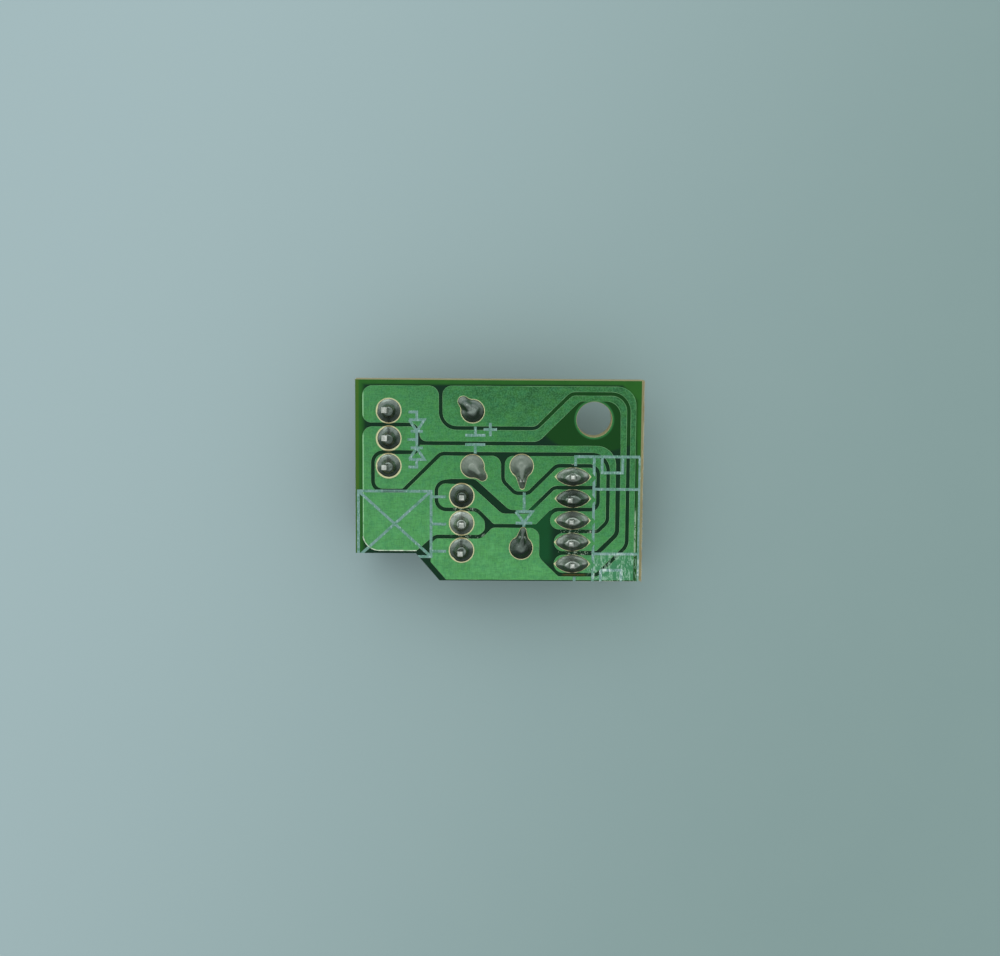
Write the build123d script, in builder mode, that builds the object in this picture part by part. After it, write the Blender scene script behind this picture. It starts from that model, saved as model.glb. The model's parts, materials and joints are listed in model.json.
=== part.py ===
"""Infrared sensor board: a small single-sided printed board with its parts on the far side.

Millimetres. The board lies level. +Z is the solder side's outward normal, and the parts
hang below the laminate. The origin is on the axis of the mounting hole, at the component
face of the laminate. +X points out of the header's mouth.
"""
import os
from math import asin, degrees, radians, tan

from build123d import *

os.makedirs("parts", exist_ok=True)

# ---------------------------------------------------------------- laminate
board_length = 26.0
board_width = 18.3
board_thickness = 1.6
hole_diameter = 3.2
hole_to_right_edge = 4.5
hole_to_top_edge = 3.5
notch_depth = 2.5  # step cut from the lower left corner
notch_length = 5.45
notch_run = 2.15  # length in X of the sloped end of the step
score_depth = 0.45  # half of a V-score, left along the right edge
score_width = 0.25

right = hole_to_right_edge
left = right - board_length
top = hole_to_top_edge
bottom = top - board_width
notch_y = bottom + notch_depth
notch_x = left + notch_length

# ---------------------------------------------------------------- layers on the solder side
foil_thickness = 0.035
mask_thickness = 0.03
ink_thickness = 0.015
isolation = 0.36  # width of the bare channels between copper areas
wide_isolation = 0.42
ring_width = 0.1  # bare ring left round each solder joint
hole_mask_clearance = 0.03
ink_width = 0.25
ink_clearance = 0.15  # ink is left out this near to a mask opening
ink_shift = (0.25, -0.1)  # printing error of the legend

solder_face = board_thickness
foil_top = solder_face + foil_thickness
coat_top = foil_top + mask_thickness
mask_top = solder_face + mask_thickness
ink_top = coat_top + ink_thickness

# ---------------------------------------------------------------- places of the parts
led_to_left_edge = 3.0
led_to_top_edge = 5.3
led_pitch = 2.5
header_to_right_edge = 6.35
header_to_top_edge = 12.7
header_pitch = 2.0
header_pins = 5
capacitor_to_header = 9.1
capacitor_span = 5.0
receiver_to_header = 10.05
receiver_to_top_edge = 13.0
receiver_pitch = 2.5
diode_to_header = 4.65
diode_to_top_edge = 11.5
diode_span = 7.5

led_x = left + led_to_left_edge
led_y = top - led_to_top_edge
header_x = right - header_to_right_edge
header_y = top - header_to_top_edge
capacitor_x = header_x - capacitor_to_header
capacitor_y = led_y
receiver_x = header_x - receiver_to_header
receiver_y = top - receiver_to_top_edge
diode_x = header_x - diode_to_header
diode_y = top - diode_to_top_edge

# ---------------------------------------------------------------- bodies that the legend outlines
receiver_length = 6.55
receiver_width = 6.0
housing_half = 5.95  # half the header housing's length in Y
housing_rear = header_x + 1.6
housing_front = right
slot_half = 2.95  # half the opening in the housing's outer wall

# ---------------------------------------------------------------- leads and joints
wire = 0.5  # thickness of every lead and pin
lead_hole = 1.0
wire_bend = 0.45  # centreline radius of a bend in a lead
lead_stickout = 1.35  # straight leads stand this far above the foil
clinch_height = 0.28  # axis of a clinched lead above the foil
round_joint = 1.08  # radius of a round solder joint
round_joint_height = 0.95
clinch_joint = 1.02  # radius of the round end of a clinched joint
clinch_joint_height = 0.72
lens_joint = 0.76  # half the height of a header joint
lens_half_length = 1.58
lens_joint_height = 0.9
neck_share = 0.75  # width of a clinched joint's neck, as a share of its round end
neck_fillet = 0.5


def row_offsets(count, pitch):
    """Offsets of a row of places, first place at the top."""
    return [pitch * ((count - 1) / 2 - index) for index in range(count)]


led_places = [(led_x, led_y + dy) for dy in row_offsets(3, led_pitch)]
receiver_places = [(receiver_x, receiver_y + dy) for dy in row_offsets(3, receiver_pitch)]
header_places = [(header_x, header_y + dy) for dy in row_offsets(header_pins, header_pitch)]
capacitor_places = [(capacitor_x, capacitor_y + dy) for dy in row_offsets(2, capacitor_span)]
diode_places = [(diode_x, diode_y + dy) for dy in row_offsets(2, diode_span)]

# how far the tips of the upright leads and pins lean from the axes of their holes
led_leans = [(-0.36, 0.18), (-0.34, 0.16), (-0.38, 0.0)]
receiver_leans = [(0.0, 0.0), (0.0, 0.0), (-0.12, -0.14)]
header_leans = [(-0.05, 0.1), (-0.34, 0.0), (-0.18, 0.0), (-0.17, 0.0), (0.0, 0.0)]

# where the end of each clinched lead lies from its hole, and the joint's radius there
capacitor_clinches = [((-0.86, 0.88), 0.42), ((0.92, -0.92), 0.36)]
diode_clinches = [((0.06, -1.92), 0.15), ((0.18, 1.6), 0.22)]

# ---------------------------------------------------------------- places of the channels
row_supply = capacitor_y + 0.97
row_led_a = capacitor_y - 0.41
row_led_b = capacitor_y - 1.36
row_above_hole = hole_diameter / 2 + 0.72
row_receiver_top = receiver_y + 3.79
row_receiver_12 = receiver_y + receiver_pitch / 2
row_receiver_23 = receiver_y - receiver_pitch / 2
row_signal = receiver_y - 0.23
row_input = diode_places[0][1] - 2.48
header_rows = [header_places[0][1] + header_pitch * (0.5 - index) for index in range(header_pins + 1)]
lane_pitch = 0.893
lanes = [header_x + 2.28 + lane_pitch * index for index in range(4)]
half_gap = isolation / 2

pour_left = left + 0.65
pour_right = right - 0.75
pour_top = top - 0.53
pour_bottom = bottom + 0.1
pour_notch = notch_y + 0.25


def diagonal(corner, row):
    """The point on a row that a 45 degree run from a corner comes down to."""
    run = corner[1] - row
    return (corner[0] - abs(run), row)


def between(low, high, share):
    """A place at this share of the way from one value to another."""
    return low + share * (high - low)


# supply / LED A channel: down between the LED and the capacitor, over the hole, down the outer lane
led_wall = led_x + 2.62  # channel to the right of the LED's two upper lands
supply_drop = (between(led_wall, capacitor_x - clinch_joint - ring_width, 0.54), row_supply)
over_hole = (-hole_diameter / 2 - 0.47, row_above_hole)
supply_channel = [
    (supply_drop[0], top + 1),
    supply_drop,
    diagonal(over_hole, row_supply),
    over_hole,
    (lanes[3], row_above_hole),
    (lanes[3], header_rows[5] + lanes[3] - lanes[0]),
    (lanes[0], header_rows[5]),
    (header_x - 0.85, header_rows[5]),
]
supply_bends = [1.45, 0.9, 0.9, 1.6, 1.2, 0.5]

# channel round the LED's third land, then along the capacitor and down the second lane
signal_loop = (receiver_x - 2.29, row_receiver_top)  # upper left corner of the channel round the signal land
led_b_low = led_places[2][1] - 2.25
led_b_rise = between(led_x - led_places[2][1], signal_loop[0] - signal_loop[1], 0.62)
led_b_start = (led_b_rise + led_b_low, led_b_low)  # from here it rises at 45 degrees
led_b_channel = [
    (left - 1, led_y + led_pitch / 2),
    (led_wall, led_y + led_pitch / 2),
    (led_wall, led_y - led_pitch / 2),
    (led_x - 1.42, led_y - led_pitch / 2),
    (led_x - 1.42, led_b_start[1]),
    led_b_start,
    (led_b_start[0] + row_led_b - led_b_start[1], row_led_b),
    (lanes[1], row_led_b),
    (lanes[1], header_rows[3] + lanes[1] - lanes[0]),
    (lanes[0], header_rows[3]),
    (header_x - 0.85, header_rows[3]),
]
led_b_bends = [0.75, 0.4, 0.95, 0.85, 0.35, 0.8, 1.5, 0.9, 0.4]

# channel between the two LED tracks, which opens into the bare field round the hole
led_a_channel = [(led_wall, row_led_a), (over_hole[0] - 2.6, row_led_a)]

# third lane, from the bare field down to the fourth header pin
third_lane = [
    (lanes[2], row_led_a),
    (lanes[2], header_rows[4] + lanes[2] - lanes[0]),
    (lanes[0], header_rows[4]),
    (header_x - 0.85, header_rows[4]),
]
third_lane_bends = [1.0, 0.4]

# channel round the input land, over the first header pin and down the first lane
input_left = diode_x - 1.69
input_turn = 1.12
input_channel = [
    (input_left, row_led_b),
    (input_left, row_input + input_turn),
    (input_left + input_turn, row_input),
    diagonal((header_x - 1.5, header_rows[0]), row_input),
    (header_x - 1.5, header_rows[0]),
    (lanes[0], header_rows[0]),
    (lanes[0], header_rows[2]),
    (header_x - 1.61, header_rows[2]),
    (header_x - 1.61 - header_rows[2] + row_signal + half_gap, row_signal + half_gap),
]
input_bends = [0.9, 0.7, 0.7, 0.8, 0.8, 0.7, 0.5]

# channel round the signal track, from the first lane to the receiver and back
signal_top = (receiver_x + 1.05, row_receiver_top)
signal_low = diode_y - 0.44
signal_channel = [
    (lanes[0], header_rows[1]),
    (header_x - 1.72, header_rows[1]),
    diagonal((header_x - 1.72, header_rows[1]), signal_low),
    (signal_top[0] + row_receiver_top - signal_low, signal_low),
    signal_top,
    signal_loop,
    (signal_loop[0], row_receiver_12),
    (receiver_x + 1.35, row_receiver_12),
    (receiver_x + 1.35 + row_receiver_12 - row_signal, row_signal),
    (header_x - 2.8, row_signal),
]
signal_bends = [0.8, 0.3, 0.6, 0.6, 0.85, 0.9, 0.9, 0.5]

# channel under the receiver's middle land, out to the step in the edge
lobe_x = receiver_x + 2.27
receiver_channel = [
    (signal_channel[8][0] + 1.0, row_signal),
    (signal_channel[8][0] - 0.1, row_signal),
    (signal_channel[8][0] - 0.1 - row_signal + row_receiver_23, row_receiver_23),
    (receiver_x - 2.35, row_receiver_23),
    (notch_x - 0.4, notch_y - 0.4),
]
receiver_bends = [0.8, 0.8, 0.5]
lobe_channel = [(lobe_x, row_receiver_12 - 0.95), (lobe_x, row_receiver_23 + 0.55)]

channels = [
    (supply_channel, supply_bends, isolation),
    (led_b_channel, led_b_bends, isolation),
    (led_a_channel, [], isolation),
    (third_lane, third_lane_bends, wide_isolation),
    (input_channel, input_bends, isolation),
    (signal_channel, signal_bends, isolation),
    (receiver_channel, receiver_bends, isolation),
    (lobe_channel, [], isolation),
]

# bare fields without copper, as outlines with the radius of each corner
hole_field = [
    ((over_hole[0] - 3.15, row_led_a - half_gap), 0),
    ((lanes[2] + half_gap, row_led_a - half_gap), 0),
    ((lanes[2] + half_gap, hole_diameter / 2 + 0.07), 1.35),
    ((over_hole[0] + 0.75, hole_diameter / 2 + 0.07), 0.9),
    (diagonal((over_hole[0] + 0.75, hole_diameter / 2 + 0.07), row_led_a + half_gap), 0),
]
header_field = [
    ((header_x - 3.3, row_signal + half_gap), 0),
    ((header_x - 2.05, header_rows[2] - 0.05), 0.4),
    ((header_x, header_rows[2]), 0),
    ((header_x, header_rows[5]), 0),
    ((header_x - 0.85, header_rows[5] - half_gap), 0),
    ((header_x - 1.25, header_rows[5] - half_gap), 0.4),
    ((header_x - 3.0, header_rows[5] + 1.55), 0.9),
    ((header_x - 3.0, row_signal), 0),
]
signal_field = [
    ((signal_loop[0] + 0.75, row_receiver_top - half_gap), 0),
    ((signal_loop[0] + 0.75, row_receiver_top + half_gap), 0),
    ((signal_loop[0] + 1.4, row_receiver_top + 0.27), 0.9),
    ((signal_top[0] + 0.15, row_receiver_top + 0.27), 0.9),
    ((signal_channel[3][0] + 0.55, signal_low + half_gap), 0.9),
    ((signal_channel[3][0] + 1.1, signal_low + half_gap), 0),
    ((signal_channel[3][0] + 1.1, signal_low - half_gap), 0),
    ((signal_channel[3][0] - 0.15, signal_low - half_gap), 0.9),
    ((signal_top[0] - 0.3, row_receiver_top - half_gap - 0.1), 0.5),
]
lobe_field = [
    ((lobe_x, row_receiver_12 - 0.9), 0),
    ((signal_channel[8][0] + 0.15, row_signal), 0),
    ((lobe_x, row_receiver_23 + 0.9), 0),
]
notch_field = [
    ((receiver_x - 2.2, row_receiver_23 + half_gap), 0),
    ((notch_x, notch_y + 0.2), 0),
    ((notch_x - 0.2, notch_y - 0.5), 0),
    ((receiver_x - 2.8, notch_y - 1.0), 0),
    ((receiver_x - 2.8, notch_y + 1.25), 0.3),
    ((receiver_x - 2.2, row_receiver_23 - half_gap), 0),
]
bare_fields = [hole_field, header_field, signal_field, lobe_field, notch_field]

# copper corners that are rounded: where each one is, and its radius
rounded_corners = [
    ((pour_left, pour_top), 0.9),
    ((supply_drop[0] - half_gap, pour_top), 0.9),
    ((pour_left, led_y + led_pitch / 2 + half_gap), 0.8),
    ((pour_left, led_y + led_pitch / 2 - half_gap), 0.9),
    ((supply_drop[0] + half_gap, pour_top), 0.8),
    ((pour_right, pour_top), 1.7),
    ((pour_left, pour_notch), 1.5),
    ((input_left - half_gap, row_led_b - half_gap), 0.85),
    ((input_left + half_gap, row_led_b - half_gap), 0.75),
    ((led_wall + half_gap, row_led_a + half_gap), 0.6),
    ((lanes[2] - half_gap, row_led_a - half_gap), 1.75),
    ((lobe_x - half_gap, row_receiver_12 - 0.99), 0.8),
    ((lobe_x - half_gap, row_receiver_23 + 0.63), 0.5),
    (diagonal((over_hole[0] + 0.75, hole_diameter / 2 + 0.07), row_led_a + half_gap), 1.2),
    ((header_x - 3.0, row_signal - half_gap), 0.9),
]


def outline_points(scored=0):
    """Corners of the board, less a strip of this width along the scored edge."""
    return [
        (left, top),
        (right - scored, top),
        (right - scored, bottom),
        (notch_x + notch_run, bottom),
        (notch_x, notch_y),
        (left, notch_y),
    ]


def pour_points():
    """Corners of the copper before it is divided."""
    return [
        (pour_left, pour_top),
        (pour_right, pour_top),
        (pour_right, pour_bottom),
        (notch_x + notch_run + 0.6, pour_bottom),
        (notch_x + 0.45, pour_notch),
        (pour_left, pour_notch),
    ]


def teardrop(place, clinch, round_radius, grow, scale=1):
    """Outline of a clinched joint: a round end on the hole, necked down to the lead's tip."""
    (dx, dy), tip_radius = clinch
    end_radius = round_radius * scale + grow
    with BuildSketch(mode=Mode.PRIVATE) as drop:
        Circle(end_radius)
        with BuildLine() as neck:
            CenterArc((0, 0), neck_share * end_radius, 0, 360)
            CenterArc((dx, dy), tip_radius * scale + grow, 0, 360)
        make_hull(neck.edges())
        on_round_end = drop.vertices().filter_by(lambda v: abs(Vector(v.X, v.Y).length - end_radius) < 1e-4)
        fillet(on_round_end.sort_by_distance(Vertex(dx, dy))[:2], neck_fillet * scale)
    with Locations(place):
        add(drop.sketch)


def lens(place, half_length, half_height, grow):
    """Outline of a header joint: two arcs that meet in a point at each end."""
    x, y = place
    tips = [(x + side * (half_length + grow), y) for side in (-1, 1)]
    with BuildLine() as sides:
        for side in (-1, 1):
            ThreePointArc(tips[0], (x, y + side * (half_height + grow)), tips[1])
    make_face(sides.edges())


def joint_outlines(grow):
    """Every joint's outline, made larger all round."""
    with Locations(*led_places, *receiver_places):
        Circle(round_joint + grow)
    for place, clinch in zip(capacitor_places, capacitor_clinches):
        teardrop(place, clinch, clinch_joint, grow)
    for place, clinch in zip(diode_places, diode_clinches):
        teardrop(place, clinch, clinch_joint, grow)
    for place in header_places:
        lens(place, lens_half_length, lens_joint, grow)


def held_bends(points, bends):
    """Bend radii, each held to the length that its two runs leave for it."""
    held = []
    used = 0.0  # length of the incoming run that the bend before takes
    for before, corner, after, radius in zip(points, points[1:], points[2:], bends):
        run_in = Vector(*corner) - Vector(*before)
        run_out = Vector(*after) - Vector(*corner)
        slope = tan(radians(run_in.get_angle(run_out) / 2))
        room = min(run_in.length - used, run_out.length)
        held.append(min(radius, 0.98 * room / slope))
        used = held[-1] * slope
    return held


all_places = led_places + receiver_places + header_places + capacitor_places + diode_places


def keep(part, name):
    """Names a finished piece and writes its file."""
    part.label = name
    export_step(part, f"parts/{name}.step")


# ---------------------------------------------------------------- laminate
with BuildPart() as laminate:
    with BuildSketch():
        Polygon(*outline_points(), align=None)
        Circle(hole_diameter / 2, mode=Mode.SUBTRACT)
        with Locations(*all_places):
            Circle(lead_hole / 2, mode=Mode.SUBTRACT)
    extrude(amount=board_thickness)
    rims = laminate.faces().sort_by(Axis.Z)
    for rim in (rims[0], rims[-1]):
        scored = rim.outer_wire().edges().sort_by(Axis.X)[-1]
        chamfer(scored, length=score_width, length2=score_depth, reference=rim)
keep(laminate.part, "board_laminate")

# ---------------------------------------------------------------- copper
with BuildSketch() as copper:
    Polygon(*pour_points(), align=None)
    for points, bends, width in channels:
        with BuildLine():
            if bends:
                FilletPolyline(*points, radius=held_bends(points, bends))
            else:
                Polyline(*points)
        trace(line_width=width, mode=Mode.SUBTRACT)
    for field in bare_fields:
        with BuildLine():
            FilletPolyline(*[corner for corner, _ in field], radius=[r for _, r in field], close=True)
        make_face(mode=Mode.SUBTRACT)
    # tongues of copper that reach from the lanes to the last three header pins
    tongue_height = header_pitch - isolation
    for place, reach in zip(header_places[2:], (2.02, 1.65, 1.65)):
        with Locations((place[0] - reach + tongue_height / 2, place[1])):
            Circle(tongue_height / 2)
            Rectangle(reach, tongue_height, align=(Align.MIN, Align.CENTER))
    for corner, radius in rounded_corners:
        fillet(copper.vertices().sort_by_distance(Vertex(*corner))[0], radius)


with BuildSketch() as openings:
    joint_outlines(ring_width)

foils = {
    "foil_led_a": led_places[0],
    "foil_ground": led_places[1],
    "foil_led_b": led_places[2],
    "foil_supply": capacitor_places[0],
    "foil_input": diode_places[0],
    "foil_signal": receiver_places[0],
}
for name, place in foils.items():
    area = copper.sketch.faces().sort_by_distance(Vertex(*place))[0]
    with BuildPart() as foil:
        with BuildSketch(Plane.XY.offset(solder_face)):
            add(area)
            with Locations(*all_places):
                Circle(lead_hole / 2, mode=Mode.SUBTRACT)
        extrude(amount=foil_thickness)
        with BuildSketch(Plane.XY.offset(foil_top)):
            add(area)
            add(openings.sketch, mode=Mode.SUBTRACT)
        extrude(amount=mask_thickness)
    keep(foil.part, name)

# ---------------------------------------------------------------- solder mask between the copper areas
with BuildPart() as mask:
    with BuildSketch(Plane.XY.offset(solder_face)):
        Polygon(*outline_points(score_width), align=None)
        Circle(hole_diameter / 2 + hole_mask_clearance, mode=Mode.SUBTRACT)
        add(copper.sketch, mode=Mode.SUBTRACT)
        add(openings.sketch, mode=Mode.SUBTRACT)
    extrude(amount=mask_thickness)
keep(mask.part, "solder_mask")

# ---------------------------------------------------------------- printed legend
receiver_box = (
    left,
    receiver_y - receiver_width / 2,
    left + receiver_length + 0.03,
    receiver_y + receiver_width / 2,
)
header_box_half = housing_half - 0.02
header_rear_line = housing_rear + 0.05
header_front_line = housing_front - 0.56
arm_line = slot_half + 0.02  # inner line of each arm, from the header's middle
window_line = (header_x + 2.37, header_x + 4.23)
window_depth = 1.46
symbol_x = led_x + 2.28
symbol_half = 0.68


def box_lines(x0, y0, x1, y1):
    """Closed rectangle as a run of points."""
    return [(x0, y0), (x1, y0), (x1, y1), (x0, y1), (x0, y0)]


legend_lines = [
    box_lines(*receiver_box),
    [receiver_box[:2], receiver_box[2:]],
    [(receiver_box[0], receiver_box[3]), (receiver_box[2], receiver_box[1])],
]
for _, y in receiver_places:
    legend_lines.append([(receiver_box[2], y), (receiver_x - 1.65, y)])

# header outline: rear stubs, arms, and a window at each end
for side in (1, -1):
    end = header_y + side * header_box_half
    arm = header_y + side * arm_line
    legend_lines += [
        [(header_x - 0.03, end - side * 0.85), (header_x - 0.03, end), (header_front_line, end)],
        [(header_rear_line, arm), (header_front_line, arm)],
        [
            (window_line[0], end),
            (window_line[0], end - side * window_depth),
            (window_line[1], end - side * window_depth),
            (window_line[1], end),
        ],
    ]
for x in (header_rear_line, header_front_line):
    legend_lines.append([(x, header_y - header_box_half), (x, header_y + header_box_half)])

# two light-emitting diodes joined at their cathodes
for side in (1, -1):
    outer = led_y + side * led_pitch
    wide = outer - side * 0.7
    tip = wide - side * 1.05
    legend_lines += [
        [(symbol_x - 0.75, outer), (symbol_x, outer), (symbol_x, wide)],
        [(symbol_x - symbol_half, wide), (symbol_x + symbol_half, wide), (symbol_x, tip)],
        [(symbol_x - symbol_half, wide), (symbol_x, tip)],
        [(symbol_x - 0.55, tip), (symbol_x + 0.55, tip)],
    ]
legend_lines.append([(symbol_x, led_y + 0.75), (symbol_x, led_y - 0.75)])
legend_lines.append([(symbol_x - 0.85, led_y), (symbol_x, led_y)])

# polarised capacitor
plate_half = 0.9
plates = (capacitor_y + 0.42, capacitor_y - 0.42)
plus_sign = (capacitor_x + 1.35, capacitor_y + 0.95)
legend_lines += [
    [(capacitor_x, capacitor_y + 1.2), (capacitor_x, plates[0])],
    [(capacitor_x - plate_half, plates[0]), (capacitor_x + plate_half, plates[0])],
    [(capacitor_x - plate_half, plates[1]), (capacitor_x + plate_half, plates[1])],
    [(capacitor_x, plates[1]), (capacitor_x, capacitor_y - 1.25)],
    [(plus_sign[0] - 0.6, plus_sign[1]), (plus_sign[0] + 0.6, plus_sign[1])],
    [(plus_sign[0], plus_sign[1] - 0.6), (plus_sign[0], plus_sign[1] + 0.6)],
]

# diode, with its cathode at the lower land
diode_base = diode_y - 0.32
diode_apex = diode_base - 1.0
legend_lines += [
    [(diode_x, diode_places[0][1] - 1.9), (diode_x, diode_base)],
    [(diode_x - 0.75, diode_base), (diode_x + 0.75, diode_base), (diode_x, diode_apex)],
    [(diode_x - 0.75, diode_base), (diode_x, diode_apex)],
    [(diode_x - 0.75, diode_apex - 0.05), (diode_x + 0.75, diode_apex - 0.05)],
    [(diode_x, diode_apex), (diode_x, diode_apex - 0.6)],
]

with BuildSketch() as keep_out:
    joint_outlines(ring_width + ink_clearance)
with BuildSketch() as drawn_legend:
    for points in legend_lines:
        with BuildLine():
            Polyline(*points)
        trace(line_width=ink_width)
    add(keep_out.sketch, mode=Mode.SUBTRACT)
with BuildPart() as legend:
    with BuildSketch(Plane.XY.offset(mask_top)):
        with Locations(ink_shift):
            add(drawn_legend.sketch)
        Polygon(*outline_points(score_width), align=None, mode=Mode.INTERSECT)
        add(openings.sketch, mode=Mode.SUBTRACT)
    extrude(amount=ink_top - mask_top)
    with BuildSketch(Plane.XY.offset(mask_top)):
        add(copper.sketch)
    extrude(amount=coat_top - mask_top, mode=Mode.SUBTRACT)
keep(legend.part, "component_legend")

# ---------------------------------------------------------------- parts under the board
capacitor_radius = 2.5
capacitor_clearance = 0.4  # between the capacitor and the board
rest_height = 2 * capacitor_radius + capacitor_clearance  # depth of the tall parts, which it lies on
clinch_cover = 0.72  # share of a clinch's length that the wire takes up
pin_top = foil_top + lead_stickout
clinch_z = foil_top + clinch_height


def bent_wire(points, bends, square=False):
    """A wire bent along a run of points, with the centreline radius of each bend."""
    with BuildPart() as bent:
        with BuildLine() as path:
            FilletPolyline(*points, radius=bends)
        with BuildSketch(Plane(origin=path.line @ 0, z_dir=path.line % 0)):
            if square:
                Rectangle(wire, wire)
            else:
                Circle(wire / 2)
        sweep()
    return bent.part


def upright_end(place, lean):
    """The last points of a straight lead, whose tip may lean a little on the solder side."""
    tip = (place[0] + lean[0], place[1] + lean[1], pin_top)
    return [(*place, solder_face), tip] if any(lean) else [tip]


def clinched_end(place, clinch):
    """The last two points of a wire that is bent over on the solder side."""
    (dx, dy), _ = clinch
    return [
        (*place, clinch_z),
        (place[0] + dx * clinch_cover, place[1] + dy * clinch_cover, clinch_z),
    ]


leads = {}  # every wire or pin by the name of its joint

# light-emitting diode with three leads, which spread from its base to their holes
led_standoff = 1.3
led_radius = 1.5
led_flange_radius = 1.9
led_flange_height = 1.0
led_height = 3.9
led_flat = 1.6  # distance of the flange's flat from the axis
led_base_pitch = 1.27
led_base = -led_standoff
led_anchor = 0.75  # length of the outer leads inside the base
post_length = 1.7  # the middle lead is a post with a cup for the light-emitting dies
cup_radius = 0.55
cup_height = 0.4

for index, (place, base_y) in enumerate(zip(led_places, row_offsets(3, led_base_pitch)), 1):
    depth = post_length if index == 2 else led_anchor
    points = [
        (led_x, led_y + base_y, led_base - depth),
        (led_x, led_y + base_y, led_base + 0.15),
        (*place, -0.05),
        *upright_end(place, led_leans[index - 1]),
    ]
    if index == 2:
        points = [points[0], *points[3:]]
    leads[f"led_joint_{index}"] = bent_wire(points, 0.25, square=True)
with BuildPart() as led_cup:
    with Locations((led_x, led_y, led_base - post_length - cup_height)):
        Cylinder(cup_radius, cup_height, align=(Align.CENTER, Align.CENTER, Align.MIN))
        Cone(
            cup_radius - 0.12, cup_radius - 0.35, cup_height - 0.1,
            align=(Align.CENTER, Align.CENTER, Align.MIN), mode=Mode.SUBTRACT,
        )
    add(leads["led_joint_2"])
leads["led_joint_2"] = led_cup.part

with BuildPart() as led_body:
    with BuildSketch(Plane.XZ):
        with BuildLine():
            Polyline(
                (0, led_base),
                (led_flange_radius, led_base),
                (led_flange_radius, led_base - led_flange_height),
                (led_radius, led_base - led_flange_height),
                (led_radius, led_base - led_height + led_radius),
            )
            RadiusArc(
                (led_radius, led_base - led_height + led_radius), (0, led_base - led_height), led_radius
            )
            Line((0, led_base - led_height), (0, led_base))
        make_face()
    revolve(axis=Axis.Z)
    with BuildSketch(Plane.XY.offset(led_base)):
        with Locations((-led_flat, 0)):
            Rectangle(1, 2 * led_flange_radius, align=(Align.MAX, Align.CENTER))
    extrude(amount=-led_flange_height, mode=Mode.SUBTRACT)
    rim = led_body.edges().filter_by(GeomType.CIRCLE).sort_by(Axis.Z)[-1:]
    chamfer(rim, 0.12)
with BuildPart() as led:
    with Locations((led_x, led_y)):
        add(led_body.part)
    for index in (1, 2, 3):
        add(leads[f"led_joint_{index}"], mode=Mode.SUBTRACT)
keep(led.part, "led_body")

# electrolytic capacitor on its side
capacitor_length = 5.0
capacitor_end = capacitor_x + 1.9  # face with the leads
capacitor_z = capacitor_radius - rest_height
capacitor_lead_pitch = 2.0
sleeve_wall = 0.12
can_wall = 0.25
can_radius = capacitor_radius - sleeve_wall
bead_depth = 0.3
bung_length = 1.6

for place, clinch, name in zip(capacitor_places, capacitor_clinches, ("plus", "minus")):
    side = 1 if name == "plus" else -1
    base_y = capacitor_y + side * capacitor_lead_pitch / 2
    points = [
        (capacitor_end + 0.9, base_y, capacitor_z),
        (capacitor_end - 0.45, base_y, capacitor_z),
        (*place, capacitor_z),
        *clinched_end(place, clinch),
    ]
    leads[f"capacitor_joint_{name}"] = bent_wire(points, wire_bend)

capacitor_plane = Plane(origin=(capacitor_end, capacitor_y, capacitor_z), x_dir=(1, 0, 0), z_dir=(0, -1, 0))


def turned(points):
    """A body of revolution about the capacitor's axis: (distance from the lead face, radius)."""
    with BuildPart() as body:
        with BuildSketch(capacitor_plane):
            with BuildLine():
                Polyline(*points, close=True)
            make_face()
        revolve(axis=Axis(capacitor_plane.origin, (1, 0, 0)))
    return body


def crimp(radius, depth):
    """The groove that squeezes the can on to its bung, as a wall of this radius takes it."""
    return [(0.85, radius), (1.0, radius - depth), (1.2, radius - depth), (1.35, radius)]


can_inside = can_radius - can_wall
lip = can_inside - 0.35
can = turned([
    (0.3, lip),
    (0.05, lip),
    (0.05, can_radius - 0.2),
    (0.25, can_radius),
    *crimp(can_radius, bead_depth),
    (capacitor_length - 0.3, can_radius),
    (capacitor_length, can_radius - 0.3),
    (capacitor_length, 0),
    (bung_length, 0),
    (bung_length, can_inside),
    *reversed(crimp(can_inside, bead_depth)),
    (0.3, can_inside),
])
with can:
    # vent scored across the closed end
    closed_end = (capacitor_end + capacitor_length, capacitor_y, capacitor_z)
    for angle in (0, 60, 120):
        with Locations(Location(closed_end, (angle, 0, 0))):
            Box(0.16, 2.6, 0.2, mode=Mode.SUBTRACT)
keep(can.part, "capacitor_can")

sleeve_lip = 0.7  # the sleeve shrinks over both ends of the can
sleeve = turned([
    (0.05, can_radius - sleeve_lip / 2),
    (-0.07, can_radius - sleeve_lip / 2),
    (-0.07, can_radius - 0.15),
    (0.2, capacitor_radius),
    *crimp(capacitor_radius, 0.22),
    (capacitor_length - 0.25, capacitor_radius),
    (capacitor_length + 0.08, can_radius - 0.26),
    (capacitor_length + 0.08, can_radius - sleeve_lip),
    (capacitor_length, can_radius - sleeve_lip),
    (capacitor_length, can_radius - 0.3),
    (capacitor_length - 0.3, can_radius),
    *reversed(crimp(can_radius, bead_depth)),
    (0.25, can_radius),
    (0.05, can_radius - 0.2),
])
keep(sleeve.part, "capacitor_sleeve")

bung = turned([
    (0, 0),
    (0, lip - 0.15),
    (0.05, lip),
    (0.3, lip),
    (0.3, can_inside),
    *crimp(can_inside, bead_depth),
    (bung_length, can_inside),
    (bung_length, 0),
])
with bung:
    for name in ("plus", "minus"):
        add(leads[f"capacitor_joint_{name}"], mode=Mode.SUBTRACT)
keep(bung.part, "capacitor_bung")

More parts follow.
